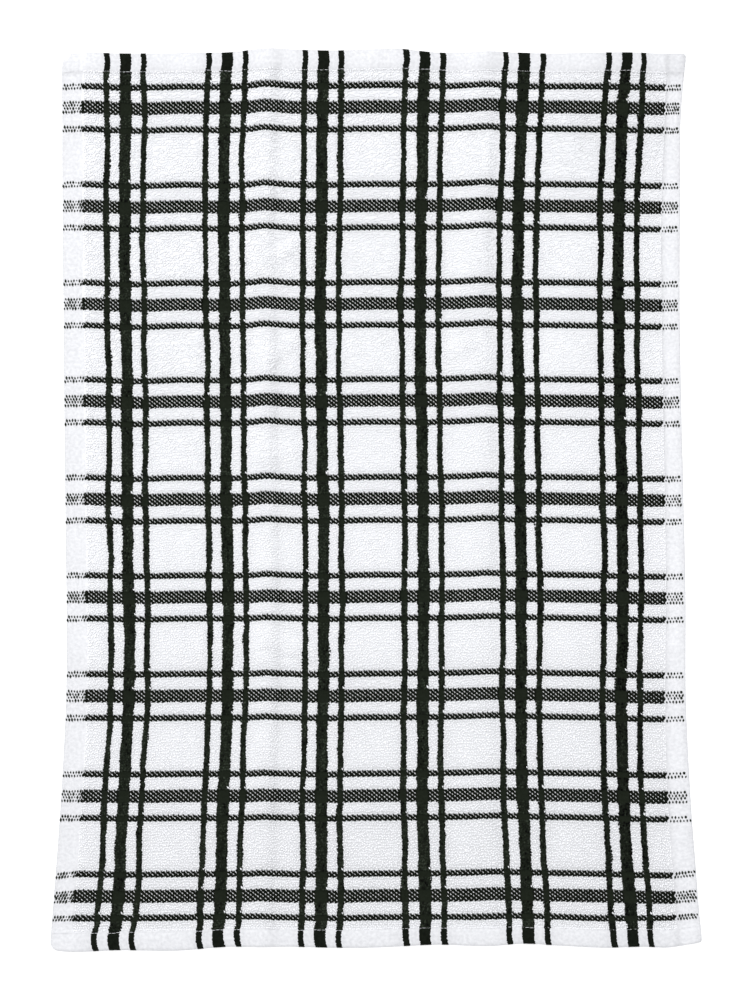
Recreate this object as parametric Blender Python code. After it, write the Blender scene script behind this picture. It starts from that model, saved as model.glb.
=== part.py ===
"""A checked terry dishcloth of 45 by 65 cm, laid out flat with its fold creases still in it.

The cloth is one woven panel. Fields of looped pile stand above flat woven bands that cross it,
a flat selvedge runs down each side, and the two ends are turned in and stitched down as hems.
It is modelled in its own flat measure first, u across and v up the cloth, and each point is
then laid where the real cloth lies: stretched at the stitched ends, bowed along the weft and
lifted where it was folded in thirds.
"""

from collections import namedtuple

import bmesh
import bpy
import numpy as np

MM = 0.001

# Finished size in the flat, and how far the parts of the weave reach
WIDTH = 450 * MM
LENGTH = 654 * MM
SELVEDGE = 15 * MM
HEM = 12.8 * MM

# Heights above the table of cotton that lies flat
WOVEN = 1.5 * MM
PILE = 2.6 * MM
HEM_FACE = 3.0 * MM
HEM_AT_SELVEDGE = 2.4 * MM
STITCHED = 2.1 * MM
RIM_SHARE = 0.55

# The check: nine groups of three flat bands cross six groups of three dark stripes
GROUP_PITCH = 72 * MM
BAND_GROUPS = 9
STRIPE_GROUPS = 6
THIN_BAND_OFFSET = 15.8 * MM
THIN_BAND = 4.7 * MM
THICK_BAND = 9.3 * MM
PILE_SLOPE = 0.8 * MM

# Lines of the grid up the pile (mm across the flat cloth), closest along the third creases
PILE_COLUMNS = (-184, -158, -130, -108, -95, -86, -77, -71, -65, -54, -30, -5,
                20, 45, 62, 74, 85, 92, 99, 112, 130, 148, 168, 190)

# Places of the grid's lines near the rims, measured in from the edge
RIM_ROUND = 0.9 * MM
STITCH_HALF = 1.7 * MM
CORNER_ROWS = (0.0, 0.9 * MM, 2.2 * MM, 4.6 * MM, 8.0 * MM)
CORNER_REACH = 26 * MM
UNDER_STEP = 4

# Corner radii, seen from above
Corners = namedtuple("Corners", "left right")
TOP_CORNERS = Corners(left=7.0 * MM, right=2.5 * MM)
BOTTOM_CORNERS = Corners(left=5.5 * MM, right=2.0 * MM)

# Where the cloth lies (mm): one row for the top end, one for each band group and one for the
# bottom end. flat is the row's height in the flat cloth and y its height as laid, then come
# the left edge, the middles of the six stripe groups and the right edge.
Section = namedtuple("Section", "flat y left s1 s2 s3 s4 s5 s6 right")
SECTIONS = (
    Section(327, 325.5, -228.6, -182.8, -108.1, -38.2, 36.0, 108.4, 183.0, 227.1),
    Section(288, 286.3, -228.5, -182.3, -109.7, -38.7, 34.8, 107.0, 180.2, 223.4),
    Section(216, 214.1, -228.3, -183.1, -110.8, -39.4, 33.5, 104.4, 177.2, 222.6),
    Section(144, 142.7, -227.6, -182.4, -110.1, -40.2, 32.5, 103.6, 177.0, 222.3),
    Section(72, 72.0, -227.0, -181.2, -109.3, -39.4, 33.3, 104.7, 178.0, 223.4),
    Section(0, 0.5, -226.3, -181.2, -108.8, -38.2, 34.7, 105.5, 179.3, 225.1),
    Section(-72, -70.8, -225.4, -180.0, -107.5, -37.9, 35.0, 106.5, 180.1, 226.6),
    Section(-144, -142.9, -225.6, -179.9, -108.0, -38.3, 34.6, 106.1, 179.1, 226.8),
    Section(-216, -215.9, -229.2, -184.1, -111.0, -39.6, 34.2, 107.2, 180.6, 230.2),
    Section(-288, -289.0, -234.6, -187.7, -113.3, -39.5, 36.1, 110.6, 185.1, 235.6),
    Section(-327, -329.3, -237.5, -190.9, -114.3, -40.4, 36.5, 112.0, 187.9, 238.6),
)

# How the weft bows (mm): u across the flat cloth, then how much higher than its section's y
# the thread lies at the top end, in the upper and lower cloth, and at the bottom end
Weft = namedtuple("Weft", "u top upper lower bottom")
WEFTS = (
    Weft(-225, -1.0, 0.3, 0.0, 0.5),
    Weft(-216, 0.0, 0.5, 0.0, -0.9),
    Weft(-176, 0.0, -1.1, -0.5, 0.0),
    Weft(-138, 0.4, 0.0, 0.0, 0.0),
    Weft(-99, 1.5, -0.4, 0.1, 2.9),
    Weft(-88, 2.9, 0.4, 0.3, 2.9),
    Weft(-78, 3.6, 1.5, 1.0, 2.9),
    Weft(-70, 3.6, 1.0, 0.5, 2.9),
    Weft(-57, 2.9, 0.1, 0.0, 2.9),
    Weft(-29, 2.2, -0.1, -0.4, 2.2),
    Weft(-4, 2.9, 0.6, 0.3, 2.2),
    Weft(14, 3.6, 0.6, 0.4, 2.9),
    Weft(45, 0.7, 0.5, 0.6, 4.4),
    Weft(70, 0.7, 1.3, 1.2, 3.6),
    Weft(83, 1.5, 2.1, 1.8, 3.6),
    Weft(102, 0.7, 0.5, 1.4, 5.1),
    Weft(128, 0.0, 0.4, 0.8, 3.8),
    Weft(160, 0.7, -0.1, 0.2, 2.2),
    Weft(188, 0.7, -0.6, -0.8, 2.9),
    Weft(205, 0.0, -0.8, -1.0, 2.4),
    Weft(225, 0.0, 0.4, 0.0, 6.0),
)
WEFT_STOPS = (-327, -292, -120, 40, 292, 327)

# Soft folds (mm, degrees): the middle of the fold's crest in the flat cloth, the way that the
# crest runs (90 is up the cloth), its length, its height where it starts and where it ends,
# and how far it slopes away on the side before the crest (left of it, or above it) and after
Fold = namedtuple("Fold", "name u v turn run start end before after")
FOLDS = (
    Fold("left third crease", -77, 0, 90, 760, 2.0, 2.4, 20, 12),
    Fold("right third crease", 85, 0, 90, 760, 0.6, 2.6, 22, 13),
    Fold("right side swell", 148, 30, 90, 640, 1.0, 1.4, 36, 44),
    Fold("foot swell", -10, -222, 0, 400, 1.6, 1.6, 52, 76),
)
FOLD_FADE = 70 * MM


def clear_scene():
    """Remove what a new file holds."""
    for thing in list(bpy.data.objects):
        bpy.data.objects.remove(thing)


def smooth_through(at, stops, values):
    """Values at the points asked for, on a smooth curve through a table's rising stops."""
    stops = np.asarray(stops, float)
    values = np.asarray(values, float)
    slopes = np.gradient(values, stops)
    left = np.clip(np.searchsorted(stops, at) - 1, 0, len(stops) - 2)
    span = stops[left + 1] - stops[left]
    t = (at - stops[left]) / span
    rise = t * t * (3 - 2 * t)
    leave = t * (1 - t) ** 2 * span
    arrive = t * t * (t - 1) * span
    return (values[left] * (1 - rise) + values[left + 1] * rise
            + slopes[left] * leave + slopes[left + 1] * arrive)


def bell(t):
    """A soft hump, 1 in its middle and 0 from 1 outwards."""
    return np.clip(1 - t * t, 0, None) ** 2


def warp_marks():
    """Flat places of the left edge, the six stripe groups and the right edge."""
    middle = (STRIPE_GROUPS - 1) / 2
    stripes = [(index - middle) * GROUP_PITCH for index in range(STRIPE_GROUPS)]
    return [-WIDTH / 2, *stripes, WIDTH / 2]


def section_at(v):
    """Laid height of a flat row, and the laid places of its edges and stripe groups."""
    rising = SECTIONS[::-1]
    flat = [row.flat * MM for row in rising]
    laid = [smooth_through(v, flat, [value * MM for value in column])
            for column in zip(*(row[1:] for row in rising))]
    return laid[0], laid[1:]


def weft_rise(u, v):
    """How far the weft at a flat point lies above the height of its section."""
    marks = [row.u * MM for row in WEFTS]
    shape = {name: smooth_through(u, marks, [getattr(row, name) * MM for row in WEFTS])
             for name in ("top", "upper", "lower", "bottom")}
    order = ("bottom", "lower", "lower", "upper", "upper", "top")
    stops = [stop * MM for stop in WEFT_STOPS]
    weights = [np.interp(v, stops, np.eye(len(stops))[index]) for index in range(len(stops))]
    return sum(weight * shape[name] for weight, name in zip(weights, order))


def lift(u, v):
    """Height of the underside above the table: nothing, but for the soft folds."""
    height = np.zeros(np.broadcast(u, v).shape)
    for fold in FOLDS:
        turn = np.radians(fold.turn)
        along = (u - fold.u * MM) * np.cos(turn) + (v - fold.v * MM) * np.sin(turn)
        across = (u - fold.u * MM) * np.sin(turn) - (v - fold.v * MM) * np.cos(turn)
        reach = np.where(across < 0, fold.before, fold.after) * MM
        crest = np.interp(along / (fold.run * MM), (-0.5, 0.5), (fold.start, fold.end)) * MM
        past = (np.abs(along) - fold.run * MM / 2 + FOLD_FADE) / FOLD_FADE
        height = height + crest * bell(across / reach) * bell(np.clip(past, 0, 1))
    return height


def lay(u, v):
    """Where the flat points of one row lie on the table."""
    y, marks = section_at(v)
    x = smooth_through(u, warp_marks(), marks)
    return x, y + weft_rise(u, v), lift(u, v)


def pile_rows():
    """Rows of the flat cloth from band to band: height in the cloth, face of field, selvedge."""
    rows = []
    middle = (BAND_GROUPS - 1) / 2
    for group in range(BAND_GROUPS):
        for offset, band in ((THIN_BAND_OFFSET, THIN_BAND), (0.0, THICK_BAND),
                             (-THIN_BAND_OFFSET, THIN_BAND)):
            centre = (middle - group) * GROUP_PITCH + offset
            outer = (band + PILE_SLOPE) / 2
            inner = (band - PILE_SLOPE) / 2
            rows += [(centre + outer, PILE, WOVEN), (centre + inner, WOVEN, WOVEN),
                     (centre - inner, WOVEN, WOVEN), (centre - outer, PILE, WOVEN)]
    return rows


def hem_rows():
    """Rows of the top hem, from its fold down to the pile behind its stitching."""
    end = LENGTH / 2
    fold = [(end - inset, HEM_FACE, HEM_AT_SELVEDGE) for inset in CORNER_ROWS]
    stitch = end - HEM
    return fold + [(stitch + STITCH_HALF, HEM_FACE, HEM_AT_SELVEDGE),
                   (stitch, STITCHED, WOVEN),
                   (stitch - STITCH_HALF, PILE, WOVEN)]


def cloth_rows():
    """Every row of the grid, from the top end to the bottom end."""
    top = hem_rows()
    bottom = [(-v, field, selvedge) for v, field, selvedge in reversed(top)]
    return top + pile_rows() + bottom


def cloth_columns():
    """Flat places across the cloth, and how much of the pile each one has."""
    edge = WIDTH / 2
    pile = edge - SELVEDGE
    step = PILE_SLOPE / 2
    side = [(edge, 0), (edge - RIM_ROUND, 0), (pile + step, 0), (pile - step, 1)]
    return ([(-u, share) for u, share in side] + [(u * MM, 1) for u in PILE_COLUMNS]
            + [(u, share) for u, share in reversed(side)])


def corner_inset(v, corners):
    """How far a row's two ends draw in to round the corners."""
    from_end = LENGTH / 2 - abs(v)
    insets = []
    for radius in corners:
        inside = max(radius - from_end, 0)
        insets.append(radius - (radius ** 2 - inside ** 2) ** 0.5)
    return insets


def row_points(v, columns):
    """Flat places of one row's points, drawn in where the corners are round."""
    left, right = corner_inset(v, TOP_CORNERS if v > 0 else BOTTOM_CORNERS)
    u = np.array([place for place, _ in columns])
    near_left = np.clip((CORNER_REACH - WIDTH / 2 - u) / CORNER_REACH, 0, 1)
    near_right = np.clip((CORNER_REACH - WIDTH / 2 + u) / CORNER_REACH, 0, 1)
    return u + left * near_left - right * near_right


def face_height(row, columns, is_end):
    """Thickness of the cloth along one row, thinned where the rim rounds over."""
    _, field, selvedge = row
    share = np.array([part for _, part in columns])
    height = selvedge + share * (field - selvedge)
    if is_end:
        return height * RIM_SHARE
    height[0] *= RIM_SHARE
    height[-1] *= RIM_SHARE
    return height


def under_rows(rows):
    """Numbers of the rows that the smooth underside needs, its round corners included."""
    ends = len(CORNER_ROWS)
    last = len(rows) - 1
    return [index for index in range(len(rows))
            if index < ends or index > last - ends or index % UNDER_STEP == 0]


def add_walls(mesh, top, under, numbers):
    """Close the rim: the two ends with one face a column, the sides with one an underside row."""
    for upper, lower in ((top[0], under[0]), (top[-1][::-1], under[-1][::-1])):
        for i in range(len(upper) - 1):
            mesh.faces.new((upper[i], upper[i + 1], lower[i + 1], lower[i]))
    for i, (first, second) in enumerate(zip(numbers, numbers[1:])):
        left = [row[0] for row in top[first:second + 1]]
        mesh.faces.new([under[i + 1][0], under[i][0], *left])
        right = [row[-1] for row in reversed(top[first:second + 1])]
        mesh.faces.new([under[i][-1], under[i + 1][-1], *right])


def add_skin(mesh, grid, faces_up):
    """Fill a grid of points with quads."""
    for upper, lower in zip(grid, grid[1:]):
        for i in range(len(upper) - 1):
            corners = (lower[i], lower[i + 1], upper[i + 1], upper[i])
            mesh.faces.new(corners if faces_up else corners[::-1])


def cotton_material():
    """Bleached cotton terry."""
    material = bpy.data.materials.new("white cotton terry")
    material.use_nodes = True
    shader = material.node_tree.nodes["Principled BSDF"]
    shader.inputs["Base Color"].default_value = (0.86, 0.87, 0.91, 1.0)
    shader.inputs["Roughness"].default_value = 0.95
    shader.inputs["Metallic"].default_value = 0.0
    return material


def build_cloth():
    """The cloth as one closed solid, its underside on the table and its middle at the origin."""
    rows = cloth_rows()
    columns = cloth_columns()
    numbers = under_rows(rows)
    skin = bmesh.new()
    top = []
    under = []
    for index, row in enumerate(rows):
        u = row_points(row[0], columns)
        x, y, z = lay(u, row[0])
        is_end = index in (0, len(rows) - 1)
        face = z + face_height(row, columns, is_end)
        top.append([skin.verts.new(point) for point in zip(x, y, face)])
        if index in numbers:
            under.append([skin.verts.new(point) for point in zip(x, y, z)])
    add_skin(skin, top, faces_up=True)
    add_skin(skin, under, faces_up=False)
    add_walls(skin, top, under, numbers)
    bmesh.ops.recalc_face_normals(skin, faces=skin.faces)

    places = np.array([vert.co for vert in skin.verts])
    low = places.min(axis=0)
    high = places.max(axis=0)
    centre = (-(low[0] + high[0]) / 2, -(low[1] + high[1]) / 2, -low[2])
    bmesh.ops.translate(skin, verts=skin.verts, vec=centre)

    mesh = bpy.data.meshes.new("cloth")
    skin.to_mesh(mesh)
    skin.free()
    mesh.materials.append(cotton_material())
    mesh.shade_smooth()
    cloth = bpy.data.objects.new("cloth", mesh)
    bpy.context.scene.collection.objects.link(cloth)
    return cloth


clear_scene()
build_cloth()
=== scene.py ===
"""A checked terry dishcloth lying flat, seen from straight above."""

import math
from collections import namedtuple

import bmesh
import bpy
import numpy as np
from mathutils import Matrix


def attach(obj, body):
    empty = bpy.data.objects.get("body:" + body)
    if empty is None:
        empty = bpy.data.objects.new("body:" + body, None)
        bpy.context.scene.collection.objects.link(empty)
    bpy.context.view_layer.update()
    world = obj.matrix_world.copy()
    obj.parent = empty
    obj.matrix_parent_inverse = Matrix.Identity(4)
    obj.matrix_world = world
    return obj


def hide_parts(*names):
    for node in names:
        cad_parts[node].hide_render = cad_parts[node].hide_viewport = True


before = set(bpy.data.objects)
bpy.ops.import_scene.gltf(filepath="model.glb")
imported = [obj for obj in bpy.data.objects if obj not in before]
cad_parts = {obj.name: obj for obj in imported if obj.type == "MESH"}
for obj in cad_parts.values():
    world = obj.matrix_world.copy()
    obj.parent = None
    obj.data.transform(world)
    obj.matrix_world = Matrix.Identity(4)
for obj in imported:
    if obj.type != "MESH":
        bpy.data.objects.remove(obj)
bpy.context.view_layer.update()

MM = 0.001


# The table and the light
# The cloth lies on a plain white light table and is seen from straight above, so the camera
# looks down its own axis. The light is broad and soft, a little stronger from the upper left.

PHOTO_HEIGHT = 729.4 * MM
CAMERA_HEIGHT = 2.6
CAMERA_SIDE = -0.76 * MM
CAMERA_UP = 0.14 * MM
SENSOR = 36.0
PILE_TIPS = 2.6 * MM
TABLE_SIDE = 3.0
TABLE_WHITE = (0.97, 0.97, 0.97, 1.0)
TABLE_GLOW = 0.2
SKY_WHITE = (1.0, 1.0, 1.0, 1.0)
SKY_STRENGTH = 1.08
LAMP_PLACE = (-3.0, 2.9, 3.2)
LAMP_SIDE = 2.0
LAMP_POWER = 163.0


def new_object(name, data):
    """An object that is in the scene."""
    made = bpy.data.objects.new(name, data)
    bpy.context.scene.collection.objects.link(made)
    return made

view = bpy.data.cameras.new("camera")
view.sensor_width = SENSOR
view.lens = SENSOR * (CAMERA_HEIGHT - PILE_TIPS) / PHOTO_HEIGHT
view.clip_start = 0.05
view.clip_end = 20.0
camera = new_object("camera", view)
camera.location = (CAMERA_SIDE, CAMERA_UP, CAMERA_HEIGHT)
bpy.context.scene.camera = camera
bpy.context.scene.view_settings.view_transform = "Standard"

sky = bpy.data.worlds.new("studio")
sky.use_nodes = True
sky_light = sky.node_tree.nodes["Background"].inputs
sky_light["Color"].default_value = SKY_WHITE
sky_light["Strength"].default_value = SKY_STRENGTH
bpy.context.scene.world = sky

lamp = bpy.data.lights.new("key lamp", "AREA")
lamp.shape = "SQUARE"
lamp.size = LAMP_SIDE
lamp.energy = LAMP_POWER
stand = new_object("key lamp", lamp)
stand.location = LAMP_PLACE
stand.rotation_euler = stand.location.to_track_quat("Z", "Y").to_euler()

table_mesh = bpy.data.meshes.new("table")
far = TABLE_SIDE / 2
table_mesh.from_pydata([(-far, -far, 0), (far, -far, 0), (far, far, 0), (-far, far, 0)], [],
                       [(0, 1, 2, 3)])
table = new_object("table", table_mesh)
table_paint = bpy.data.materials.new("table paint")
table_paint.use_nodes = True
paint = table_paint.node_tree.nodes["Principled BSDF"].inputs
paint["Base Color"].default_value = TABLE_WHITE
paint["Roughness"].default_value = 1.0
paint["Specular IOR Level"].default_value = 0.0
paint["Emission Color"].default_value = TABLE_WHITE
paint["Emission Strength"].default_value = TABLE_GLOW
table_mesh.materials.append(table_paint)


# The woven ground
# One panel of white cotton, woven with dark stripes up it and dark weft bands across it. It is
# flat in the bands and selvedges, its ends are turned in and stitched, and the pile stands on
# the rest. It keeps soft creases from being folded in thirds.

WIDTH = 450 * MM
LENGTH = 654 * MM
HEM = 12.8 * MM
LEFT_SELVEDGE = 15 * MM
RIGHT_SELVEDGE = 13.4 * MM
WOVEN = 1.5 * MM
PILE_GROUND = 1.9 * MM

GROUP_PITCH = 72 * MM
BAND_GROUPS = 9
STRIPE_GROUPS = 6
THIN_BAND = 4.7 * MM
THICK_BAND = 9.3 * MM
THIN_BAND_OFFSET = 15.8 * MM
FIRST_BAND_OFFSET = 14.9 * MM
LAST_BAND_EXTRA = 0.6 * MM
THIN_STRIPE = 4.25 * MM
THICK_STRIPE = 8.3 * MM
THIN_STRIPE_OFFSET = 13.5 * MM
LEFT_PILE = LEFT_SELVEDGE - WIDTH / 2
RIGHT_PILE = WIDTH / 2 - RIGHT_SELVEDGE

# How far the thin stripes before and after the wide one of each group stand from it (mm)
STRIPE_SETTING = ((13.1, 13.1), (13.6, 13.5), (13.4, 13.3), (13.6, 13.3), (13.5, 13.2), (13.3, 13.2))

# The middles of the dark stripes, evenly set and as this loom set them, and half their widths
GROUP_MIDDLES = (np.arange(STRIPE_GROUPS) - (STRIPE_GROUPS - 1) / 2) * GROUP_PITCH
EVEN_STRIPES = np.array([middle + side * THIN_STRIPE_OFFSET for middle in GROUP_MIDDLES
                         for side in (-1, 0, 1)])
SET_STRIPES = np.array([middle + offset * MM
                        for middle, (before, after) in zip(GROUP_MIDDLES, STRIPE_SETTING)
                        for offset in (-before, 0, after)])
STRIPE_HALVES = np.tile([THIN_STRIPE / 2, THICK_STRIPE / 2, THIN_STRIPE / 2], STRIPE_GROUPS)

# Where the cloth lies (mm): one row for the top end, one for each band group, and three for the
# last band, the lower stitching and the bottom end. flat is the row's height in the flat cloth
# and y its height as laid, then come the left edge, the middles of the six stripe groups, the
# right border of the pile and the right edge.
Section = namedtuple("Section", "flat y left s1 s2 s3 s4 s5 s6 pile right")
SECTIONS = (
    Section(327, 325.5, -228.6, -182.4, -107.7, -37.8, 36.4, 108.8, 183.7, 213.4, 227.1),
    Section(288, 285.8, -228.5, -181.9, -109.3, -38.3, 35.2, 107.4, 180.9, 212.1, 223.4),
    Section(216, 213.6, -228.3, -182.7, -110.4, -39.0, 33.9, 104.8, 177.9, 209.3, 222.6),
    Section(144, 142.2, -227.6, -182.0, -109.7, -39.8, 32.9, 104.0, 177.7, 209.5, 222.3),
    Section(72, 71.5, -227.0, -180.8, -108.9, -39.0, 33.7, 105.1, 178.7, 210.5, 223.4),
    Section(0, 0.0, -226.3, -180.8, -108.4, -37.8, 35.1, 105.9, 180.0, 211.9, 225.1),
    Section(-72, -71.3, -225.4, -179.6, -107.1, -37.5, 35.4, 106.9, 180.8, 212.7, 226.6),
    Section(-144, -143.4, -225.6, -179.5, -107.6, -37.9, 35.0, 106.5, 179.8, 212.1, 226.8),
    Section(-216, -216.4, -229.2, -183.7, -110.6, -39.2, 34.6, 107.6, 181.3, 213.9, 230.2),
    Section(-288, -289.5, -234.6, -187.3, -112.9, -39.1, 36.5, 111.0, 185.8, 219.2, 235.6),
    Section(-304, -305.8, -235.8, -188.5, -113.3, -39.4, 36.7, 111.6, 186.9, 220.2, 236.8),
    Section(-314.2, -314.8, -236.5, -189.4, -113.6, -39.7, 36.8, 112.0, 187.7, 220.8, 237.6),
    Section(-327, -329.3, -237.5, -190.5, -113.9, -40.0, 36.9, 112.4, 188.6, 221.6, 238.6),
)

# How the weft bows (mm): u across the flat cloth, then how much higher than its section's y
# the thread lies at the top end, in the upper and lower cloth, in the last band, and at the
# bottom end
Weft = namedtuple("Weft", "u top upper lower last bottom")
WEFTS = (
    Weft(-225, -1.0, 0.3, 0.0, 0.3, 0.5),
    Weft(-216, 0.0, 0.5, 0.0, 0.0, -0.5),
    Weft(-176, 0.0, -1.1, -0.5, -0.1, 0.4),
    Weft(-138, 0.4, 0.0, 0.0, 0.4, 0.0),
    Weft(-99, 1.5, -0.4, 0.1, 1.1, 2.9),
    Weft(-88, 2.9, 0.4, 0.3, 1.1, 2.9),
    Weft(-78, 3.6, 1.5, 1.0, 1.3, 2.9),
    Weft(-70, 3.6, 1.0, 0.5, 0.7, 2.9),
    Weft(-57, 2.9, 0.1, 0.0, 0.2, 2.9),
    Weft(-29, 2.2, -0.1, -0.4, -0.3, 2.2),
    Weft(-4, 2.9, 0.6, 0.3, 0.2, 2.2),
    Weft(14, 3.6, 0.6, 0.4, 0.5, 2.9),
    Weft(45, 0.7, 0.5, 0.6, 0.7, 4.4),
    Weft(70, 0.7, 1.3, 1.2, 0.6, 3.6),
    Weft(83, 1.5, 2.1, 1.8, 1.1, 3.6),
    Weft(102, 0.7, 0.5, 1.4, 1.4, 5.1),
    Weft(128, 0.0, 0.4, 0.8, 0.7, 3.8),
    Weft(160, 0.7, -0.1, 0.2, -0.4, 2.2),
    Weft(188, 0.7, -0.6, -0.8, -0.1, 2.9),
    Weft(205, 0.0, -0.9, -1.1, 0.1, 2.4),
    Weft(225, 0.0, -0.6, -0.7, 1.5, 6.0),
)
WEFT_STOPS = (-327, -304, -290, -120, 40, 292, 327)

# Soft folds (mm, degrees): the middle of the fold's crest in the flat cloth, the way that the
# crest runs (90 is up the cloth), its length, its height where it starts and where it ends,
# and how far it slopes away on the side before the crest (left of it, or above it) and after
Fold = namedtuple("Fold", "name u v turn run start end before after")
FOLDS = (
    Fold("left third crease", -75, 0, 90, 760, 2.0, 2.0, 28, 9),
    Fold("right third crease", 83, 0, 90, 760, 0.5, 2.2, 28, 9),
    Fold("right side swell", 148, 30, 90, 640, 1.0, 1.4, 36, 44),
    Fold("foot swell", -10, -222, 0, 400, 1.6, 1.6, 52, 76),
)
FOLD_FADE = 70 * MM
FOLD_UNEVENNESS = 0.3

# Short ridges that cross the left third crease, in the same terms
RIDGES = (
    Fold("first ridge", -62, 181, 35, 46, 1.0, 1.0, 9, 7),
    Fold("second ridge", -64, 109, 38, 46, 1.0, 1.0, 10, 7),
    Fold("third ridge", -68, 30, 4, 60, 0.8, 0.8, 13, 9),
    Fold("fourth ridge", -62, -112, -12, 62, 1.0, 1.0, 12, 8),
    Fold("small right ridge", 62, 108, 20, 46, 0.7, 0.7, 9, 8),
)
RIDGE_FADE = 16 * MM

# Radii of the left and the right corner, seen from above
TOP_CORNERS = (7.0 * MM, 2.5 * MM)
BOTTOM_CORNERS = (5.5 * MM, 2.0 * MM)
CORNER_REACH = 26 * MM

# Near the foot the weft bends up to the right in both selvedges
FOOT_BEND = 1.3 * MM
FOOT_BEND_AT = -275 * MM
FOOT_BEND_REACH = 45 * MM


def smooth_through(at, stops, values):
    """Values at the points asked for, on a smooth curve through a table's rising stops.

    The table has one value for each stop, or one for each stop and point.
    """
    stops = np.asarray(stops, float)
    values = np.reshape(values, (len(stops), -1)) + np.zeros(len(at))
    slopes = np.gradient(values, stops, axis=0)
    left = np.clip(np.searchsorted(stops, at) - 1, 0, len(stops) - 2)
    sides = (np.array([left, left + 1]), np.arange(len(at)))
    span = np.diff(stops)[left]
    t = (at - stops[left]) / span
    rise = t * t * (3 - 2 * t)
    start, end = values[sides]
    leave, arrive = slopes[sides] * span
    return start * (1 - rise) + end * rise + leave * t * (1 - t) ** 2 + arrive * t * t * (t - 1)


def bell(t):
    """A soft hump, 1 in its middle and 0 from 1 outwards."""
    return np.clip(1 - t * t, 0, None) ** 2


def weft_rise(u, v):
    """How far the weft at a flat point lies above the height of its section."""
    marks, *table = np.array(WEFTS).T * MM
    shape = dict(zip(Weft._fields[1:], (smooth_through(u, marks, row) for row in table)))
    order = ("bottom", "last", "lower", "lower", "upper", "upper", "top")
    stops = np.array(WEFT_STOPS) * MM
    weights = [np.interp(v, stops, share) for share in np.eye(len(stops))]
    sides = (np.clip(1 - (WIDTH / 2 - u) / LEFT_SELVEDGE, 0, 1)
             - np.clip(1 - (WIDTH / 2 + u) / LEFT_SELVEDGE, 0, 1))
    bend = FOOT_BEND * bell((v - FOOT_BEND_AT) / FOOT_BEND_REACH) * sides
    return sum(weight * shape[name] for weight, name in zip(weights, order)) + bend


def waves(u, v, seed, heights, lengths):
    """A few gentle waves that cross at odd angles, for what is uneven by hand or by loom."""
    draw = np.random.default_rng(seed)
    total = np.zeros(np.broadcast(u, v).shape)
    for height, length in zip(heights, lengths):
        for turn in draw.uniform(0, math.pi, 3):
            phase = draw.uniform(0, 2 * math.pi)
            run = (u * np.cos(turn) + v * np.sin(turn)) * 2 * math.pi / length
            total = total + height / 3 * np.sin(run + phase)
    return total


def fold_height(u, v, fold, fade):
    """How high one fold lifts the cloth at flat points."""
    turn = np.radians(fold.turn)
    aside = u - fold.u * MM
    up = v - fold.v * MM
    along = aside * np.cos(turn) + up * np.sin(turn)
    across = aside * np.sin(turn) - up * np.cos(turn)
    reach = np.where(across < 0, fold.before, fold.after) * MM
    crest = np.interp(along / (fold.run * MM), (-0.5, 0.5), (fold.start, fold.end)) * MM
    past = (np.abs(along) - fold.run * MM / 2 + fade) / fade
    return crest * bell(across / reach) * bell(np.clip(past, 0, 1))


def lift(u, v):
    """Height of the underside above the table: nothing, but for the soft folds and ridges."""
    uneven = 1 + waves(u, v, 13, (FOLD_UNEVENNESS, FOLD_UNEVENNESS), (90 * MM, 38 * MM))
    height = np.zeros(np.broadcast(u, v).shape)
    for fold in FOLDS:
        height = height + fold_height(u, v, fold, FOLD_FADE) * uneven
    for ridge in RIDGES:
        height = height + fold_height(u, v, ridge, RIDGE_FADE)
    return height


def lay(u, v):
    """Where flat points lie on the table, as one array of x, y and the underside's z."""
    flat, *table = np.array(SECTIONS[::-1]).T * MM
    marks = [-WIDTH / 2, *GROUP_MIDDLES, RIGHT_PILE, WIDTH / 2]
    y, *columns = [smooth_through(v, flat, column) for column in table]
    x = smooth_through(u, marks, columns)
    return np.column_stack([x, y + weft_rise(u, v), lift(u, v)])


UPPER_HEM_SWAY = 0.7 * MM
LOWER_HEM_SWAY = -1.4 * MM
LOWER_END_KICK = 0.6 * MM
SWAY_FADES_OVER = 340 * MM
FAN = 0.018


def thread_wander(u, v):
    """How far warp threads stray to one side: spread at the bands, and pushed over in the hems."""
    group = u % GROUP_PITCH - GROUP_PITCH / 2
    fan = FAN * np.cos(2 * math.pi * v / GROUP_PITCH) * group
    stitching = LENGTH / 2 - HEM
    sway = (UPPER_HEM_SWAY * bell((v - stitching) / HEM * 2 - 1)
            + LOWER_HEM_SWAY * np.clip(0.5 - u / SWAY_FADES_OVER, 0, 1)
            * bell((v + stitching) / HEM * 1.2 + 0.4)
            + LOWER_END_KICK * bell((v + LENGTH / 2) / HEM * 3))
    return fan + sway + waves(u * 2.5, v, 5, (0.50 * MM, 0.36 * MM), (61 * MM, 23 * MM))


def even_thread(u, v):
    """The evenly set place of the warp thread that runs through a flat point."""
    edge = WIDTH / 2
    return np.interp(u - thread_wander(u, v), [-edge, *SET_STRIPES, edge],
                     [-edge, *EVEN_STRIPES, edge])


def spread(start, stop, step):
    """Even places from one height down to another, ends left out."""
    count = max(int(round((start - stop) / step)), 1)
    return list(np.linspace(start, stop, count + 1)[1:-1])


def band_list():
    """Each flat band from the top of the cloth: the middle of it, and its width."""
    bands = []
    for group in range(BAND_GROUPS):
        middle = ((BAND_GROUPS - 1) / 2 - group) * GROUP_PITCH
        above = THIN_BAND_OFFSET if group else FIRST_BAND_OFFSET
        bands += [(middle + above, THIN_BAND), (middle, THICK_BAND),
                  (middle - THIN_BAND_OFFSET, THIN_BAND)]
    bands[-1] = (bands[-1][0], THIN_BAND + LAST_BAND_EXTRA)
    return bands


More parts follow.
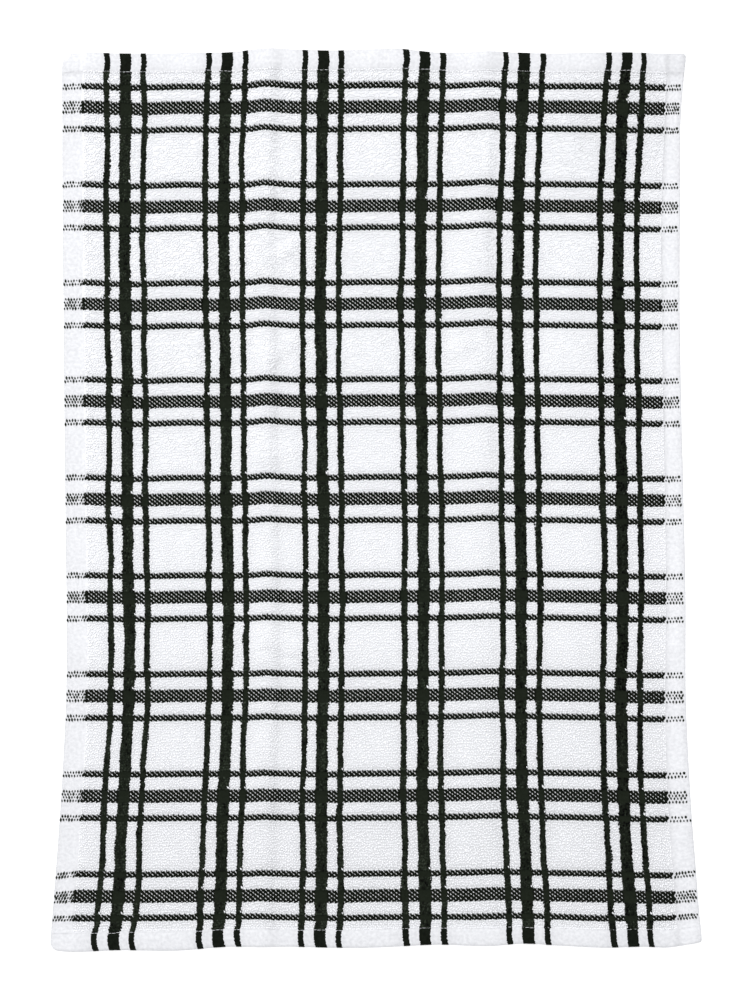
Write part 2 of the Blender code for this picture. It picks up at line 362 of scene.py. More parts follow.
def pile_strips():
    """Top and bottom of each strip of pile between two flat bands, or a band and a hem."""
    stops = [LENGTH / 2 - HEM]
    for centre, width in band_list():
        stops += [centre + width / 2, centre - width / 2]
    stops.append(HEM - LENGTH / 2)
    return list(zip(stops[0::2], stops[1::2]))


# Where the white reads dimmer, painted into its colour: painted shade near dark yarn, which takes up
# some of its light, painted shade at the very rim, and wide zones of painted shade, or of painted
# light where a zone's depth is below 0 (mm; soft is how gently a zone begins)
DARK_YARN_REACH = 7.5 * MM
DARK_YARN_PAINTED_SHADE = 0.85
Zone = namedtuple("Zone", "name u v half_width half_height soft depth")
# Wide zones of painted shade, and of painted light where the depth is below 0, standing in for the
# uneven light across the cloth
PAINTED_LIGHT_AND_SHADE_ZONES = (
    Zone("upper hem", 0, 323, 300, 8, 2, -0.16),
    Zone("upper right corner", 219, 321, 8, 12, 6, 0.75),
    Zone("lower third", 0, -222, 300, 110, 14, 0.28),
    Zone("foot", 0, -272, 300, 60, 16, 0.14),
    Zone("right margin", 183, 0, 22, 400, 8, 0.10),
    Zone("right selvedge", 219, 0, 7, 400, 3, -0.45),
    Zone("upper right", 178, 285, 46, 50, 34, 0.30),
)
# Painted shade along the rim, stronger on the left and top edges than on the right and the bottom
RIM_REACH = 1.3 * MM
LIT_RIM_PAINTED_SHADE = 3.0
FAR_RIM_PAINTED_SHADE = 0.8


def zone_share(distance, half, soft):
    """1 inside a zone and 0 outside, with a smooth change between."""
    t = np.clip((half + soft / 2 - np.abs(distance)) / soft, 0, 1)
    return t * t * (3 - 2 * t)


def dimness(u, v):
    """How dim the white is painted at a flat place, from 0 to about 2: painted shade, and painted
    light below 0.
    """
    thread = even_thread(u, v)
    to_stripe = np.min(np.abs(thread[..., None] - EVEN_STRIPES) - STRIPE_HALVES, axis=-1)
    to_band = np.min([np.abs(v - centre) - width / 2 for centre, width in band_list()], axis=0)
    outside = np.maximum(LEFT_PILE - u, u - RIGHT_PILE)
    to_band = np.maximum(to_band, 3 * np.clip(outside, 0, None))
    # Painted shade near the dark stripes and bands
    near = (1 - np.clip(np.minimum(to_stripe, to_band) / DARK_YARN_REACH, 0, 1)) ** 1.5
    dim = near * DARK_YARN_PAINTED_SHADE
    # Painted shade and painted light in wide zones
    for zone in PAINTED_LIGHT_AND_SHADE_ZONES:
        dim = dim + (zone.depth * zone_share(u - zone.u * MM, zone.half_width * MM, zone.soft * MM)
                     * zone_share(v - zone.v * MM, zone.half_height * MM, zone.soft * MM))
    # Painted shade at the rim
    for to_rim, depth in ((np.minimum(WIDTH / 2 + u, LENGTH / 2 - v), LIT_RIM_PAINTED_SHADE),
                          (np.minimum(WIDTH / 2 - u, LENGTH / 2 + v), FAR_RIM_PAINTED_SHADE)):
        dim = dim + depth * (1 - np.clip(to_rim / RIM_REACH, 0, 1))
    return dim


# How open the pile stands, so that the ground between its loops shows with more painted shade: from
# 0 at the top left to 1 at the bottom right
OPEN_AT_MIDDLE = 0.42
OPEN_DOWN = 450 * MM
OPEN_ACROSS = 1200 * MM


def openness(u, v):
    """How open the pile stands at a flat place."""
    return np.clip(OPEN_AT_MIDDLE - v / OPEN_DOWN + u / OPEN_ACROSS, 0, 1)


GROUND_STEP = 4.2 * MM
COLUMN_STEP = 3.2 * MM
PILE_SLOPE = 0.7 * MM
SIDE_SLOPE = 0.4 * MM
SIDE_INSETS = (0, 0.3 * MM, 1.0 * MM, 5 * MM, 10 * MM)
RIM_SHARES = (0.5, 0.8)
UNDER_STEP = 5

# Each hem from its fold inwards (mm): how far in the row lies, and the cloth's thickness there in
# the field and in the selvedges. The rounded rim comes first, the stitching is the last but one.
HemRow = namedtuple("HemRow", "inset field side")
HEM_ROWS = (
    HemRow(0.0, 1.5, 1.2),
    HemRow(0.35, 2.4, 1.92),
    HemRow(1.0, 2.91, 2.328),
    HemRow(2.2, 3.0, 2.4),
    HemRow(4.2, 3.0, 2.4),
    HemRow(7.5, 3.0, 2.4),
    HemRow(9.6, 2.82, 2.256),
    HemRow(11.0, 2.55, 2.016),
    HemRow(12.2, 2.205, 1.8),
    HemRow(12.8, 2.016, 1.695),
    HemRow(13.4, 2.016, 1.62),
)
RIM_ROWS = 7


def ground_rows():
    """Rows from the top end to the bottom end: flat height, face of the field, selvedge."""
    hem = [(LENGTH / 2 - row.inset * MM, row.field * MM, row.side * MM) for row in HEM_ROWS]
    rows = list(hem)
    for top, bottom in pile_strips():
        first, last = top - PILE_SLOPE, bottom + PILE_SLOPE
        rows += [(v, PILE_GROUND, WOVEN) for v in (first, *spread(first, last, GROUND_STEP), last)]
        if bottom > HEM - LENGTH / 2:
            below = next(centre for centre, _ in band_list() if centre < bottom)
            rows += [(v, WOVEN, WOVEN) for v in (bottom, below, 2 * below - bottom)]
    return rows + [(-v, field, side) for v, field, side in reversed(hem)]


# Places across the cloth, and how much of the field's height each one has
left_side = [inset - WIDTH / 2 for inset in SIDE_INSETS] + [LEFT_PILE - SIDE_SLOPE]
across_field = [LEFT_PILE + SIDE_SLOPE, *spread(RIGHT_PILE, LEFT_PILE, COLUMN_STEP)[::-1],
                RIGHT_PILE - SIDE_SLOPE]
right_side = [RIGHT_PILE + SIDE_SLOPE] + [WIDTH / 2 - inset for inset in SIDE_INSETS[::-1]]
columns = np.array(left_side + across_field + right_side)
share = np.repeat([0.0, 1.0, 0.0], [len(left_side), len(across_field), len(right_side)])


def row_places(v):
    """Flat places of one row's points, drawn in where the corners are round."""
    u = columns.copy()
    for side, radius in zip((-1, 1), TOP_CORNERS if v > 0 else BOTTOM_CORNERS):
        inside = max(radius - (LENGTH / 2 - abs(v)), 0)
        inset = radius - (radius ** 2 - inside ** 2) ** 0.5
        u -= side * inset * np.clip((CORNER_REACH - WIDTH / 2 + side * columns) / CORNER_REACH, 0, 1)
    return u


def pucker(u, v):
    """How the cloth's thickness swells and sinks from place to place."""
    return waves(u, v, 11, (0.16 * MM, 0.14 * MM), (46 * MM, 19 * MM))


rows = ground_rows()
rim = np.ones(len(columns))
rim[[0, -1]], rim[[1, -2]] = RIM_SHARES
under_numbers = [index for index in range(len(rows)) if index < RIM_ROWS
                 or index >= len(rows) - RIM_ROWS or index % UNDER_STEP == 0]

panel = bmesh.new()
flat_places = []
dim_places = []
top_grid = []
under_grid = []
for index, (v, field, side) in enumerate(rows):
    u = row_places(v)
    places = lay(u, np.full(len(u), v))
    face = (side + share * (field - side)) * rim + pucker(u, v) * (rim == 1)
    threads = even_thread(u, v)
    top_grid.append([panel.verts.new(place) for place in places + face[:, None] * (0, 0, 1)])
    flat_places += [(thread, v, 1.0) for thread in threads]
    # dim holds the painted shade and painted light of dimness()
    dim = dimness(u, np.full(len(u), v))
    dim_places += list(dim)
    if index in under_numbers:
        under_grid.append([panel.verts.new(place) for place in places])
        flat_places += [(thread, v, 0.0) for thread in threads]
        dim_places += list(dim)

for one, other in (*zip(top_grid[1:], top_grid), *zip(under_grid, under_grid[1:]),
                   (top_grid[0], under_grid[0]), (top_grid[-1][::-1], under_grid[-1][::-1])):
    for i in range(len(one) - 1):
        panel.faces.new((one[i], one[i + 1], other[i + 1], other[i]))
for i, (first, second) in enumerate(zip(under_numbers, under_numbers[1:])):
    left = [row[0] for row in top_grid[first:second + 1]]
    panel.faces.new([under_grid[i + 1][0], under_grid[i][0], *left])
    right = [row[-1] for row in reversed(top_grid[first:second + 1])]
    panel.faces.new([under_grid[i][-1], under_grid[i + 1][-1], *right])
bmesh.ops.recalc_face_normals(panel, faces=panel.faces)

all_places = np.array([vert.co for vert in panel.verts])
middle_of_cloth = (all_places.min(axis=0) + all_places.max(axis=0)) / 2 * (1, 1, 0)
bmesh.ops.translate(panel, verts=panel.verts, vec=-middle_of_cloth)
ground_mesh = bpy.data.meshes.new("woven_ground")
panel.to_mesh(ground_mesh)
panel.free()
for label, kind, part, values in (("flat", "FLOAT_VECTOR", "vector", flat_places),
                                  ("dim", "FLOAT", "value", dim_places)):
    attribute = ground_mesh.attributes.new(label, kind, "POINT")
    attribute.data.foreach_set(part, np.array(values, np.float32).ravel())
ground_mesh.shade_smooth()
woven_ground = new_object("woven_ground", ground_mesh)


class Wiring:
    """Places nodes in a tree one after another and joins them."""

    def __init__(self, tree):
        self.tree = tree

    def fill(self, made, inputs):
        """Fill a node's inputs with values or links."""
        for key, value in inputs.items():
            if isinstance(value, bpy.types.NodeSocket):
                self.tree.links.new(value, made.inputs[key])
            else:
                made.inputs[key].default_value = value

    def node(self, kind, inputs=(), **settings):
        """Add a node, set its properties and fill its inputs."""
        made = self.tree.nodes.new(kind)
        made.location = (180 * (len(self.tree.nodes) % 12), -220 * (len(self.tree.nodes) // 12))
        for name, value in settings.items():
            setattr(made, name, value)
        self.fill(made, dict(inputs))
        return made

    def math(self, operation, *values):
        """One step of arithmetic."""
        return self.node("ShaderNodeMath", dict(enumerate(values)), operation=operation).outputs[0]

    def ramp(self, value, low, high, start=0.0, end=1.0, kind="LINEAR"):
        """A value that runs from start to end while another one runs from low to high."""
        return self.node("ShaderNodeMapRange",
                         {"Value": value, "From Min": low, "From Max": high, "To Min": start,
                          "To Max": end}, interpolation_type=kind).outputs[0]

    def step(self, value, edge, softness):
        """1 below the edge and 0 above it, with a soft change between."""
        return self.ramp(value, edge - softness, edge + softness, 1.0, 0.0, "SMOOTHSTEP")

    def noise(self, place, scale, detail):
        """Soft clouds of values from 0 to 1."""
        return self.node("ShaderNodeTexNoise", {"Vector": place, "Scale": scale,
                                                "Detail": detail}).outputs["Fac"]

    def mix(self, share, first, second):
        """A blend of two colours."""
        return self.node("ShaderNodeMix", {"Factor": share, 6: first, 7: second},
                         data_type="RGBA").outputs[2]

    def attribute(self, name, output="Fac"):
        """What the mesh holds under a name."""
        return self.node("ShaderNodeAttribute", attribute_name=name).outputs[output]


# Scale and detail of the clouds, the grain and the fuzz in the yarn, and what makes it uneven
YARN_NOISES = ((55.0, 3.0), (900.0, 2.0), (3200.0, 2.0))
CLOUD_SHARE = 0.25
GRAIN_SHARE = 0.25
OWN_SHARE = 0.5
DIM_STEP = 0.085


def cotton_variation_group():
    """Yarn that is a little uneven in tone, and the fine fuzz of its surface as a height."""
    group = bpy.data.node_groups.new("cotton variation", "ShaderNodeTree")
    for name, way, kind in (("Place", "INPUT", "Vector"), ("Tone", "INPUT", "Color"),
                            ("Shade", "INPUT", "Color"), ("Unevenness", "INPUT", "Float"),
                            ("Own Share", "INPUT", "Float"), ("Dimness", "INPUT", "Float"),
                            ("Color", "OUTPUT", "Color"), ("Height", "OUTPUT", "Float")):
        group.interface.new_socket(name, in_out=way, socket_type="NodeSocket" + kind)
    wires = Wiring(group)
    start = group.nodes.new("NodeGroupInput").outputs
    clouds, grain, fuzz = [wires.noise(start["Place"], *size) for size in YARN_NOISES]
    mixed = wires.math("ADD", wires.math("MULTIPLY", clouds, CLOUD_SHARE),
                       wires.math("MULTIPLY", grain, GRAIN_SHARE))
    mixed = wires.math("ADD", mixed, wires.math("MULTIPLY", start["Own Share"], OWN_SHARE))
    tone = wires.mix(wires.math("MULTIPLY", mixed, start["Unevenness"]), start["Tone"],
                     start["Shade"])
    # Dimness darkens the colour: painted shade and painted light where the mesh carries them, the
    # yarn's own tone elsewhere
    kept = wires.math("SUBTRACT", 1.0, wires.math("MULTIPLY", start["Dimness"], DIM_STEP))
    dimmed = wires.node("ShaderNodeVectorMath", {0: tone, "Scale": kept}, operation="SCALE")
    wires.fill(group.nodes.new("NodeGroupOutput"),
               {"Color": dimmed.outputs[0], "Height": wires.math("ADD", grain, fuzz)})
    return group


cotton_variation = cotton_variation_group()


def new_material(name):
    """An empty material, and the wiring for it."""
    material = bpy.data.materials.new(name)
    material.use_nodes = True
    return material, Wiring(material.node_tree)


def cotton(wires, tone, shade, unevenness, own_share, dimness=0.0):
    """Uneven cotton: the outputs of its colour and of its fuzz."""
    place = wires.node("ShaderNodeTexCoord").outputs["Object"]
    return wires.node("ShaderNodeGroup",
                      {"Place": place, "Tone": tone, "Shade": shade, "Unevenness": unevenness,
                       "Own Share": own_share, "Dimness": dimness},
                      node_tree=cotton_variation).outputs


def matt_surface(wires, colour, height, depth, strength, roughness, gloss):
    """Joins a colour and a height to the material's shader."""
    bump = wires.node("ShaderNodeBump", {"Height": height, "Distance": depth,
                                         "Strength": strength})
    wires.fill(wires.tree.nodes["Principled BSDF"],
               {"Base Color": colour, "Normal": bump.outputs[0], "Roughness": roughness,
                "Specular IOR Level": gloss})


# The edges of the bands: teeth where they end at the selvedges, and scallops along them
TOOTH = 0.6 * MM
TOOTH_PITCH = 4.57 * MM
TOOTH_HEIGHT = 3.5 * MM
FLOAT_PITCH = 3.6 * MM
SCALLOP = 0.25 * MM
THIN_INK = 4.3 * MM
THICK_INK = 9.1 * MM
INK_BEFORE_PILE = 0.6 * MM
INK_BEFORE_RIGHT = 0.7 * MM
INK_BEFORE_HEM = 2 * MM
END_BANDS = LENGTH / 2 - HEM - 20 * MM

# How soft the borders are, how ragged the stripes are, and the pitch of the plain weave
STRIPE_BORDER = 0.12 * MM
BAND_BORDER = 0.15 * MM
PILE_BORDER = 0.2 * MM
END_BORDER = 1 * MM
RAGGED = 1.6 * MM
WEAVE_PITCH = 0.9 * MM
MOTTLE_RANGE = (0.34, 0.66)
UNEVEN_WHITE = 0.9
UNEVEN_BLACK = 0.3

# Painted shade on the ground between the loops of the pile, from where the pile is close to where it
# stands open
GAP_PAINTED_SHADE = 0.1
OPEN_GAP_PAINTED_SHADE = 2.1
PILE_WHITE = (0.805, 0.811, 0.836, 1.0)
PILE_SHADE = (0.727, 0.737, 0.766, 1.0)
WOVEN_WHITE = (0.745, 0.751, 0.777, 1.0)
WOVEN_SHADE = (0.545, 0.551, 0.577, 1.0)
WOVEN_BLACK = (0.0014, 0.0022, 0.0010, 1.0)
STRIPE_BLACK = (0.0064, 0.0088, 0.0050, 1.0)
BLACK = (0.0008, 0.0032, 0.0001, 1.0)
BLACK_SHADE = (0.0225, 0.0285, 0.0200, 1.0)


def woven_material():
    """The flat weave: white cotton with the dark warp stripes and the dark weft bands in it."""
    material, wires = new_material("woven cotton")
    maths = wires.math
    flat = wires.attribute("flat", "Vector")
    thread = wires.node("ShaderNodeSeparateXYZ", {0: flat}).outputs
    u = thread["X"]
    v = thread["Y"]

    ragged = maths("MULTIPLY", maths("SUBTRACT", wires.noise(flat, 700.0, 1.0), 0.5), RAGGED)
    across = maths("WRAP", maths("ADD", u, GROUP_PITCH / 2), GROUP_PITCH / 2, -GROUP_PITCH / 2)
    across = maths("ADD", maths("ABSOLUTE", across), ragged)
    thin = maths("ABSOLUTE", maths("SUBTRACT", across, THIN_STRIPE_OFFSET))
    stripe = maths("MAXIMUM", wires.step(across, THICK_STRIPE / 2, STRIPE_BORDER),
                   wires.step(thin, THIN_STRIPE / 2, STRIPE_BORDER))

    scallop = maths("SINE", maths("MULTIPLY", u, 2 * math.pi / FLOAT_PITCH))
    up = maths("WRAP", v, GROUP_PITCH / 2, -GROUP_PITCH / 2)
    tooth = maths("MULTIPLY", maths("SUBTRACT", up, TOOTH_HEIGHT), 2 * math.pi / TOOTH_PITCH)
    toothed = maths("SUBTRACT", u, maths("MULTIPLY", maths("COSINE", tooth), TOOTH))
    up = maths("ADD", maths("ABSOLUTE", up), maths("MULTIPLY", scallop, SCALLOP))
    first_band = wires.step(maths("MULTIPLY", v, -1.0), -END_BANDS, END_BORDER)
    nearer = maths("MULTIPLY", first_band, THIN_BAND_OFFSET - FIRST_BAND_OFFSET)
    beside = maths("SUBTRACT", up, maths("SUBTRACT", THIN_BAND_OFFSET, nearer))
    last_band = wires.step(v, -END_BANDS, END_BORDER)
    beside = maths("SUBTRACT", maths("ABSOLUTE", beside),
                   maths("MULTIPLY", last_band, LAST_BAND_EXTRA / 2))
    band = maths("MAXIMUM", wires.step(up, THICK_INK / 2, BAND_BORDER),
                 wires.step(beside, THIN_INK / 2, BAND_BORDER))
    off_hem = wires.step(maths("ABSOLUTE", v), LENGTH / 2 - HEM - INK_BEFORE_HEM, PILE_BORDER)

    def in_field(place, before_right):
        """1 between the two selvedges and the two hems, and 0 in them."""
        right_of = wires.step(maths("MULTIPLY", place, -1.0), INK_BEFORE_PILE - LEFT_PILE,
                              PILE_BORDER)
        left_of = wires.step(place, RIGHT_PILE - before_right, PILE_BORDER)
        return maths("MULTIPLY", maths("MULTIPLY", right_of, left_of), off_hem)

    band = maths("MULTIPLY", band, in_field(toothed, INK_BEFORE_RIGHT))
    pile = maths("MULTIPLY", in_field(u, INK_BEFORE_PILE), maths("SUBTRACT", 1.0, band))
    # Painted shade on the ground between the loops, growing towards the bottom right
    gap = maths("ADD", maths("DIVIDE", u, OPEN_ACROSS), OPEN_AT_MIDDLE)
    gap = maths("SUBTRACT", gap, maths("DIVIDE", v, OPEN_DOWN))
    gap = wires.ramp(gap, 0.0, 1.0, GAP_PAINTED_SHADE, OPEN_GAP_PAINTED_SHADE)
    mottled = wires.ramp(wires.noise(flat, 460.0, 2.0), *MOTTLE_RANGE)
    white = cotton(wires, wires.mix(pile, WOVEN_WHITE, PILE_WHITE),
                   wires.mix(pile, WOVEN_SHADE, PILE_SHADE), UNEVEN_WHITE, mottled,
                   maths("ADD", wires.attribute("dim"), maths("MULTIPLY", gap, pile)))
    black = cotton(wires, wires.mix(maths("MULTIPLY", stripe, off_hem), WOVEN_BLACK, STRIPE_BLACK),
                   BLACK_SHADE, UNEVEN_BLACK, mottled)
    colour = wires.mix(maths("MAXIMUM", stripe, band), white["Color"], black["Color"])
    warp = maths("SINE", maths("MULTIPLY", u, 2 * math.pi / WEAVE_PITCH))
    weft = maths("SINE", maths("MULTIPLY", v, 2 * math.pi / WEAVE_PITCH))
    weave = maths("MULTIPLY", maths("MULTIPLY", warp, weft), 0.5)
    matt_surface(wires, colour, maths("ADD", weave, white["Height"]), depth=0.18 * MM,
                 strength=0.6, roughness=0.92, gloss=0.07)
    return material


ground_mesh.materials.append(woven_material())
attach(woven_ground, "root")
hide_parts("cloth")


# The white pile
# Loops of soft white yarn stand in rows all over the ground but for its flat bands, hems and
# selvedges. Each loop leans its own way, so the rows are uneven and their edges ragged.

LOOP_ROW = 2.0 * MM
LOOP_STEP = 1.25 * MM
LOOP = {"Width": 1.6 * MM, "Length": 2.2 * MM, "Height": 0.9 * MM, "Spread": 0.15, "Tilt": 0.2}
LOOP_RISE = 0.1 * MM
PILE_MARGIN = 0.7 * MM
ROW_JITTER = 0.85 * MM
OPEN_ROW_JITTER = 0.7 * MM
END_JITTER = 0.5 * MM
EDGE_CLEAR = 0.2 * MM
# Where the pile stands open, its loops are lighter in colour and smaller
OPEN_LOOP_DIMMING = -1.15
OPEN_LOOP_SIZE = 0.86
SINK_REACH = 3.0 * MM
LEFT_SINK = 0.05 * MM
RIGHT_SINK = 0.22 * MM


def bead_tree():
    """Geometry Nodes that set one small rounded body of yarn on each point."""
    tree = bpy.data.node_groups.new("yarn on points", "GeometryNodeTree")
    face = tree.interface
    face.new_socket("Points", in_out="INPUT", socket_type="NodeSocketGeometry")
    for name, value in {"Width": 0.001, "Length": 0.001, "Height": 0.001, "Sides": 4, "Rings": 2,
                        "Spread": 0.1, "Turn": 0.1, "Tilt": 0.1, "Seed": 1}.items():
        kind = "NodeSocketInt" if isinstance(value, int) else "NodeSocketFloat"
        face.new_socket(name, in_out="INPUT", socket_type=kind).default_value = value
    face.new_socket("Material", in_out="INPUT", socket_type="NodeSocketMaterial")
    face.new_socket("Yarn", in_out="OUTPUT", socket_type="NodeSocketGeometry")
    wires = Wiring(tree)
    maths = wires.math
    start = tree.nodes.new("NodeGroupInput").outputs

    def random_value(low, high, seed_step):
        """A random number for each point, between two others."""
        seed = maths("ADD", start["Seed"], seed_step)
        return wires.node("FunctionNodeRandomValue", {2: low, 3: high, "Seed": seed},
                          data_type="FLOAT").outputs[1]

    def own_value(name):
        """A number that each point brings along."""
        return wires.node("GeometryNodeInputNamedAttribute", {"Name": name},
                          data_type="FLOAT").outputs["Attribute"]

    body = wires.node("GeometryNodeMeshUVSphere", {"Segments": start["Sides"],
                                                   "Rings": start["Rings"], "Radius": 0.5})
    growth = random_value(maths("SUBTRACT", 1.0, start["Spread"]),
                          maths("ADD", 1.0, start["Spread"]), 0.0)
    turn = random_value(maths("MULTIPLY", start["Turn"], -1.0), start["Turn"], 1.0)
    tilt = random_value(maths("MULTIPLY", start["Tilt"], -1.0), start["Tilt"], 2.0)
    rotation = wires.node("ShaderNodeCombineXYZ",
                          {"X": tilt, "Z": maths("ADD", own_value("turn"), turn)})
    size = wires.node("ShaderNodeCombineXYZ", {"X": start["Width"], "Y": start["Length"],
                                               "Z": start["Height"]})
    scaled = wires.node("ShaderNodeVectorMath",
                        {0: size.outputs[0], "Scale": maths("MULTIPLY", growth, own_value("size"))},
                        operation="SCALE")
    placed = wires.node("GeometryNodeInstanceOnPoints",
                        {"Points": start["Points"], "Instance": body.outputs["Mesh"],
                         "Rotation": rotation.outputs[0], "Scale": scaled.outputs[0]})
    toned = wires.node("GeometryNodeStoreNamedAttribute",
                       {0: placed.outputs[0], "Name": "tone", "Value": random_value(0.0, 1.0, 3.0)},
                       data_type="FLOAT", domain="INSTANCE")
    real = wires.node("GeometryNodeRealizeInstances", {0: toned.outputs[0]})
    smooth = wires.node("GeometryNodeSetShadeSmooth", {0: real.outputs[0]})
    painted = wires.node("GeometryNodeSetMaterial", {0: smooth.outputs[0],
                                                     "Material": start["Material"]})
    wires.fill(tree.nodes.new("NodeGroupOutput"), {"Yarn": painted.outputs[0]})
    return tree


yarn_on_points = bead_tree()


def yarn_piece(name, places, turns, dims, material, slot, grown=1.0, **sizes):
    """One plain mesh with a body of yarn on every place, riding with the cloth."""
    points = bpy.data.meshes.new(name + "_points")
    points.vertices.add(len(places))
    points.vertices.foreach_set("co", np.asarray(places, np.float32).ravel())
    for label, values in (("turn", turns), ("dim", dims), ("size", grown)):
        values = np.broadcast_to(np.asarray(values, np.float32), len(places))
        points.attributes.new(label, "FLOAT", "POINT").data.foreach_set("value", values)
    holder = new_object(name + "_points", points)
    modifier = holder.modifiers.new("yarn", "NODES")
    modifier.node_group = yarn_on_points
    wanted = {**sizes, "Material": material}
    for item in yarn_on_points.interface.items_tree:
        if item.item_type == "SOCKET" and item.in_out == "INPUT" and item.name in wanted:
            modifier[item.identifier] = wanted[item.name]
    ready = holder.evaluated_get(bpy.context.evaluated_depsgraph_get())
    mesh = bpy.data.meshes.new_from_object(ready)
    mesh.name = name
    bpy.data.objects.remove(holder)
    piece = new_object(name, mesh)
    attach(piece, "root")
    return piece


EDGE_WOBBLE = ((0.25 * MM, 3.3 * MM), (0.26 * MM, 9.0 * MM))


def wobble(v, seed):
    """How far one edge of each stripe strays to the side at the heights given."""
    draw = np.random.default_rng(seed)
    total = np.zeros((len(v), len(SET_STRIPES)))
    for stray, step in EDGE_WOBBLE:
        bends = np.arange(-LENGTH / 2, LENGTH / 2 + step, step)
        for number in range(len(SET_STRIPES)):
            total[:, number] += np.interp(v, bends, draw.normal(0, stray, len(bends)))
    return total


def pile_rows():
    """Heights of the rows of loops, and how near each row is to the end of its strip."""
    heights = []
    ends = []
    for top, bottom in pile_strips():
        count = int(round((top - bottom - 2 * PILE_MARGIN) / LOOP_ROW)) + 1
        row = np.linspace(top - PILE_MARGIN, bottom + PILE_MARGIN, count)
        heights.append(row)
        ends.append(np.minimum(top - row, row - bottom))
    return np.concatenate(heights), np.concatenate(ends)


CORNER_FLARE = 0.35 * MM
FLARE_REACH = 2.6 * MM


def stripe_edges(v, near_end):
    """Left and right edges of every dark stripe at each row, in the flat cloth."""
    flare = CORNER_FLARE * bell(near_end / FLARE_REACH)[:, None]
    u, heights = np.broadcast_arrays(SET_STRIPES, v[:, None])
    middles = u + thread_wander(u, heights)
    return (middles - STRIPE_HALVES - flare + wobble(v, 71),
            middles + STRIPE_HALVES + flare + wobble(v, 72))


def loops_between(start, stop, row, draw):
    """Places of the loops of one row between two edges, nearly even."""
    count = max(int(round((stop - start) / LOOP_STEP)) + row % 2, 1)
    step = (stop - start) / count
    places = start + (np.arange(count) + 0.5) * step
    return places + draw.uniform(-0.22, 0.22, count) * step


def pile_points():
    """Flat places of the white loops and of the dark ones, row by row."""
    draw = np.random.default_rng(21)
    heights, near_end = pile_rows()
    left, right = stripe_edges(heights, near_end)
    white = []
    dark = []
    for row, v in enumerate(heights):
        loose = ROW_JITTER + (OPEN_ROW_JITTER - ROW_JITTER) * openness(0, v)
        if near_end[row] < LOOP_ROW:
            loose = END_JITTER
        starts = [LEFT_PILE + EDGE_CLEAR, *right[row]]
        stops = [*left[row], RIGHT_PILE - EDGE_CLEAR]
        for loops, edges in ((white, zip(starts, stops)), (dark, zip(left[row], right[row]))):
            for start, stop in edges:
                loops += [(u, v + loose * draw.uniform(-1, 1))
                          for u in loops_between(start, stop, row, draw)]
    return np.array(white), np.array(dark)


def on_cloth(u, v, height):
    """Places on the laid cloth at a height above its underside."""
    places = lay(u, v) - middle_of_cloth
    places[:, 2] += height + pucker(u, v)
    return places


def sunk(u):
    """How far the loops at the two sides of the pile sink towards the selvedges."""
    return (LEFT_SINK * np.clip(1 - (u - LEFT_PILE) / SINK_REACH, 0, 1)
            + RIGHT_SINK * np.clip(1 - (RIGHT_PILE - u) / SINK_REACH, 0, 1))


def loop_material(name, tone, shade, unevenness, streaks=0.0):
    """Cotton yarn, matt and slightly fuzzy, uneven by the loop and in streaks up the cloth."""
    material, wires = new_material(name)
    place = wires.node("ShaderNodeTexCoord").outputs["Object"]
    drawn_out = wires.node("ShaderNodeVectorMath", {0: place, 1: (1.0, 0.12, 1.0)},
                           operation="MULTIPLY").outputs[0]
    streak = wires.ramp(wires.noise(drawn_out, 520.0, 1.0), *MOTTLE_RANGE)
    own = wires.math("ADD", wires.math("MULTIPLY", wires.attribute("tone"), 1.0 - streaks),
                     wires.math("MULTIPLY", streak, streaks))
    # The dim attribute carries painted shade and painted light on the white pile, and tone on the
    # dark loops
    yarn = cotton(wires, tone, shade, unevenness, own, wires.attribute("dim"))
    matt_surface(wires, yarn["Color"], yarn["Height"], depth=0.2 * MM, strength=0.5,
                 roughness=0.95, gloss=0.08)
    return material


white_loops, dark_loops = pile_points()
white_yarn = loop_material("white pile yarn", PILE_WHITE, PILE_SHADE, 0.5)
white_draw = np.random.default_rng(33)
order = np.argsort(-white_loops[:, 1], kind="stable")
for number, chosen in enumerate(np.array_split(order, 3)):
    u, v = white_loops[chosen].T
    # Their dim is the painted shade and painted light of dimness(), with the open pile's loops
    # lighter
    yarn_piece("white_pile_" + ("top", "middle", "foot")[number],
               on_cloth(u, v, PILE_GROUND + LOOP_RISE - sunk(u)),
               white_draw.normal(0, 0.2, len(u)),
               dimness(u, v) + OPEN_LOOP_DIMMING * openness(u, v), white_yarn, "white_terry",
               grown=1 + (OPEN_LOOP_SIZE - 1) * openness(u, v),
               **LOOP, Turn=1.2, Seed=3)


# Some loops at the right edge of a stripe lean over the band below them
NUB_SHARE = 0.5
NUB_LEAN = 0.6
NUB_ABOVE_BAND = 1.5 * MM
nub_draw = np.random.default_rng(36)
band_tops = np.array([centre + width / 2 for centre, width in band_list()]) + NUB_ABOVE_BAND
_, stripe_rights = stripe_edges(band_tops, np.full(len(band_tops), NUB_ABOVE_BAND))
nub_chosen = nub_draw.uniform(0, 1, stripe_rights.shape) < NUB_SHARE
u = stripe_rights[nub_chosen] - nub_draw.uniform(0.1, 0.9, nub_chosen.sum()) * MM
v = np.tile(band_tops[:, None], (1, stripe_rights.shape[1]))[nub_chosen]
yarn_piece("leaning_loops", on_cloth(u, v, PILE_GROUND + 0.5 * MM), NUB_LEAN, 0.0, white_yarn,
           "white_terry", Width=1.2 * MM, Length=2.6 * MM, Height=1.0 * MM,
           Spread=0.3, Turn=0.2, Tilt=0.2, Seed=4)


# The dark stripes
# The same loops in yarn dyed nearly black, in six groups of three stripes that run the whole
# length of the cloth.

DARKER_RIGHT = 5.0
DARKER_FROM = 60 * MM
DARKER_OVER = 120 * MM
DARKER_ALL = 1.0
LOOP_DIMMING_SPREAD = 4.2
PATCH_DIMMING = 3.6

